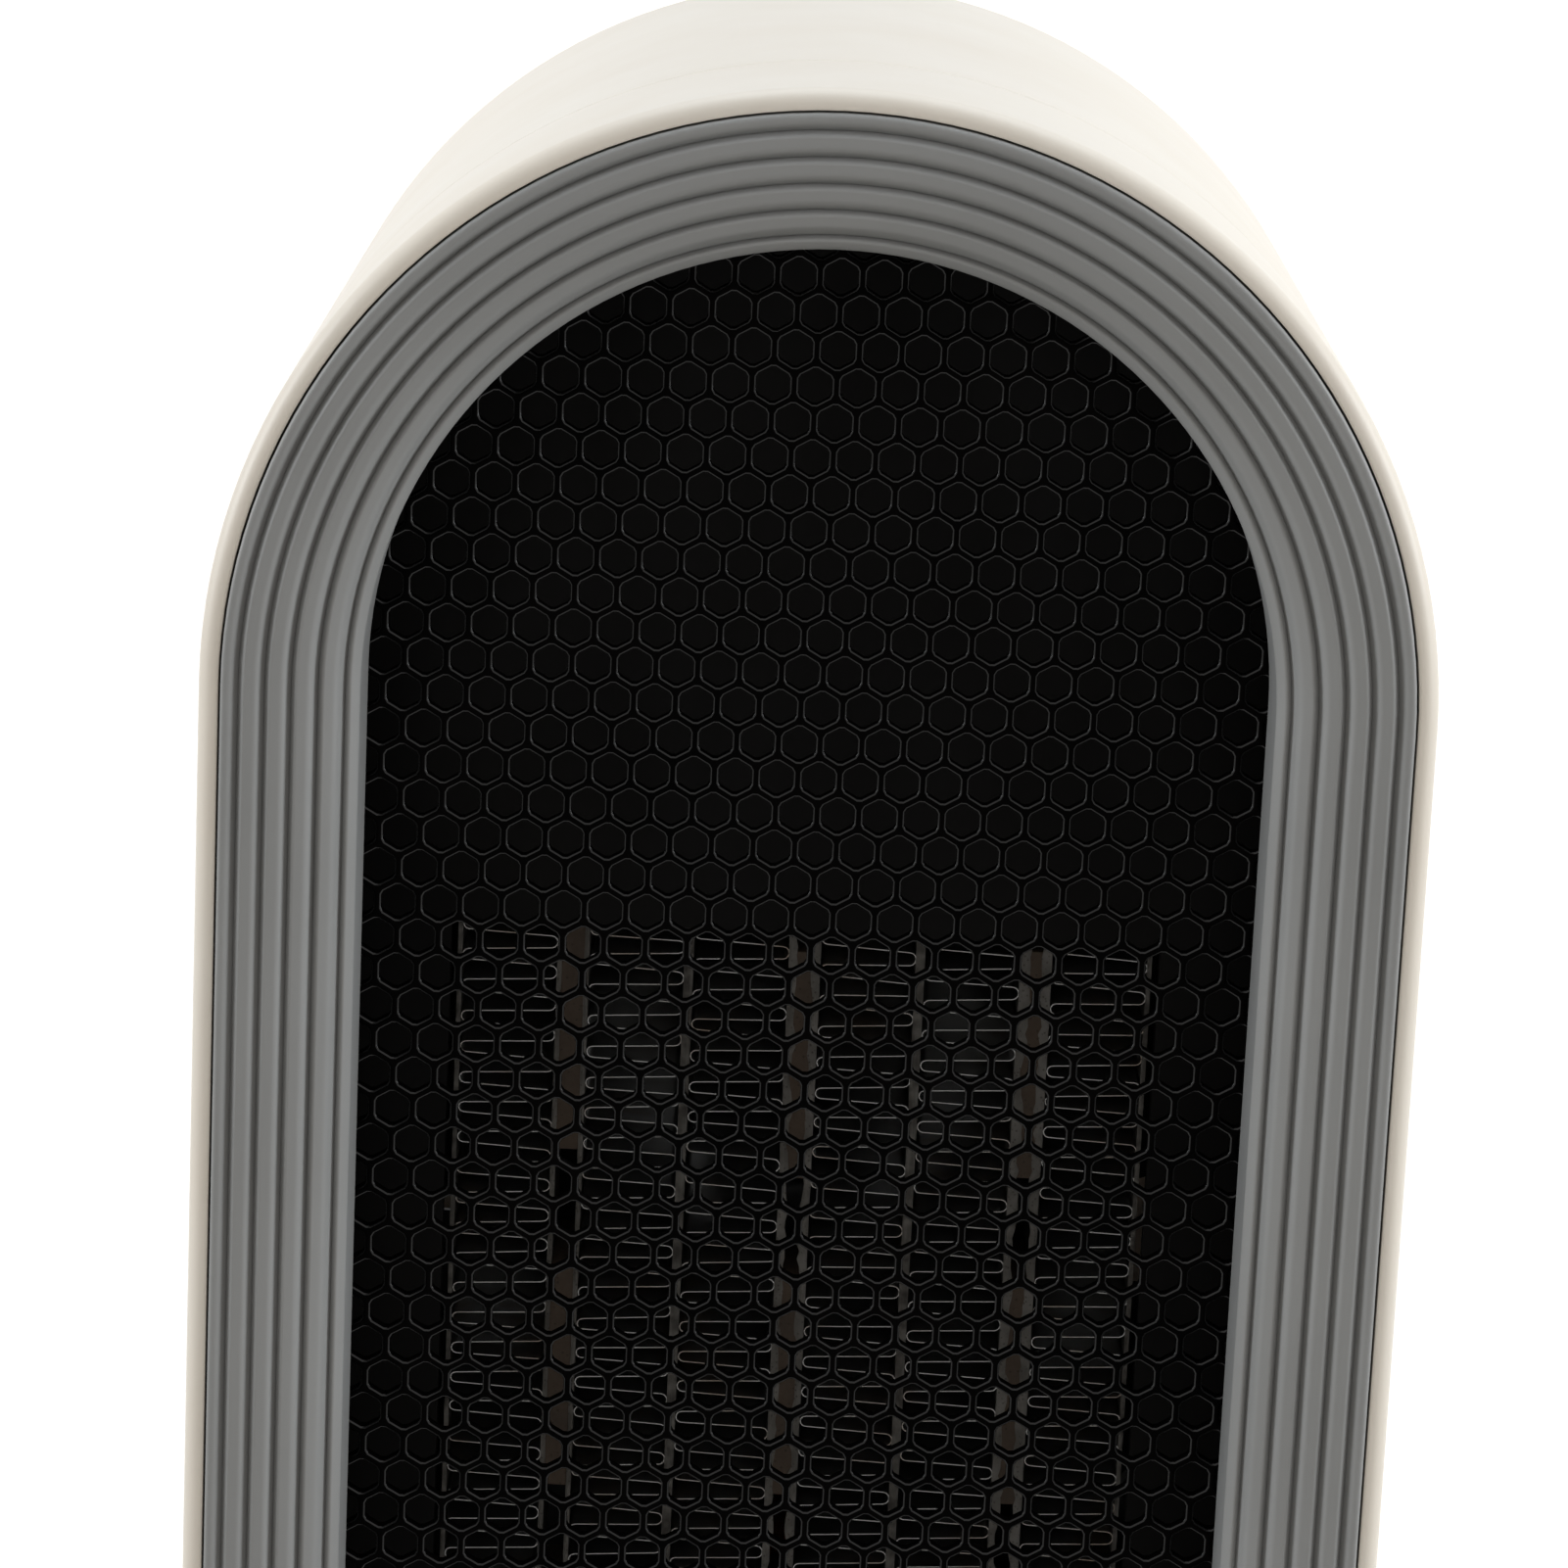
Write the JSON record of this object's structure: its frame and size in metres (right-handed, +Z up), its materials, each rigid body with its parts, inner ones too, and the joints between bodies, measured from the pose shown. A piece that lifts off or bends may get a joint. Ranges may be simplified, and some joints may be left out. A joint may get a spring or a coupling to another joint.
{
  "type": "ceramic heater",
  "caption": "Small upright ceramic heater with a half-round top: cream case, grey ribbed frame, black honeycomb mesh, ceramic element, fan, knobs and a tip-over foot.",
  "frame": {"origin": "on the floor, under the middle of the whole", "axes": "+Z up, the outlet faces -Y, +X to the viewer's right"},
  "size_m": [0.12, 0.1348, 0.3225],
  "materials": {
    "case_plastic": "satin cream plastic",
    "frame_plastic": "satin grey plastic",
    "control_plastic": "satin grey plastic",
    "mesh_metal": "satin black paint",
    "black_plastic": "matte black heat-proof plastic",
    "stone": "unglazed tan ceramic",
    "fin_metal": "bright rolled strip",
    "plate_metal": "rolled sheet",
    "tab_metal": "bright",
    "laminations": "rolled steel",
    "winding": "enamelled copper wire",
    "steel": "bright zinc plating",
    "fan_plastic": "matte black plastic",
    "lens": "clear amber plastic",
    "lamp_glass": "clear",
    "foot_rubber": "matte",
    "block_plastic": "matte white plastic"
  },
  "bodies": {
    "heater": {"front_shell": "case_plastic", "rear_shell": "case_plastic", "bezel_ring": "frame_plastic", "front_grille": "mesh_metal", "outlet_tray": "black_plastic", "ceramic_stones": "stone", "electrode_plates": "plate_metal", "channel_plates": "plate_metal", "heating_fins": "fin_metal", "element_top_frame": "black_plastic", "element_bottom_frame": "black_plastic", "element_terminals": "tab_metal", "thermal_cutout": "block_plastic", "thermal_fuse": "block_plastic", "fan_shroud": "black_plastic", "motor_stator": "laminations", "motor_coil": "winding", "motor_front_bracket": "steel", "motor_rear_bracket": "steel", "case_screws": "steel", "control_panel": "control_plastic", "mode_switch": "black_plastic", "thermostat_body": "black_plastic", "indicator_lens": "lens", "indicator_lamp": "lamp_glass", "base_plinth": "frame_plastic", "rubber_feet": "foot_rubber", "base_screws": "steel", "tip_switch": "black_plastic", "terminal_block": "block_plastic", "cord_gland": "black_plastic"},
    "fan_rotor": {"fan_impeller": "fan_plastic", "motor_rotor": "laminations", "motor_shaft": "steel"},
    "mode_control": {"mode_knob": "control_plastic", "mode_spindle": "steel"},
    "thermostat_control": {"thermostat_knob": "control_plastic", "thermostat_spindle": "steel"},
    "tip_foot": {"tip_plunger": "black_plastic"}
  },
  "joints": [
    {"name": "fan_spin", "type": "hinge", "parent": "heater", "child": "fan_rotor", "pos_m": [0, 0.00635, 0.18325], "axis": [0, 1, 0], "continuous": true},
    {"name": "mode_turn", "type": "hinge", "parent": "heater", "child": "mode_control", "pos_m": [-0.027, -0.05865, 0.028], "axis": [0, 1, 0], "range_deg": [0, 135]},
    {"name": "thermostat_turn", "type": "hinge", "parent": "heater", "child": "thermostat_control", "pos_m": [0.027, -0.05865, 0.028], "axis": [0, 1, 0], "range_deg": [-135, 135]},
    {"name": "tip_drop", "type": "slide", "parent": "heater", "child": "tip_foot", "axis": [0, 0, -1], "range_m": [0, 0.0035], "stiffness_N_per_m": 30, "springref_m": 0.0045}
  ]
}
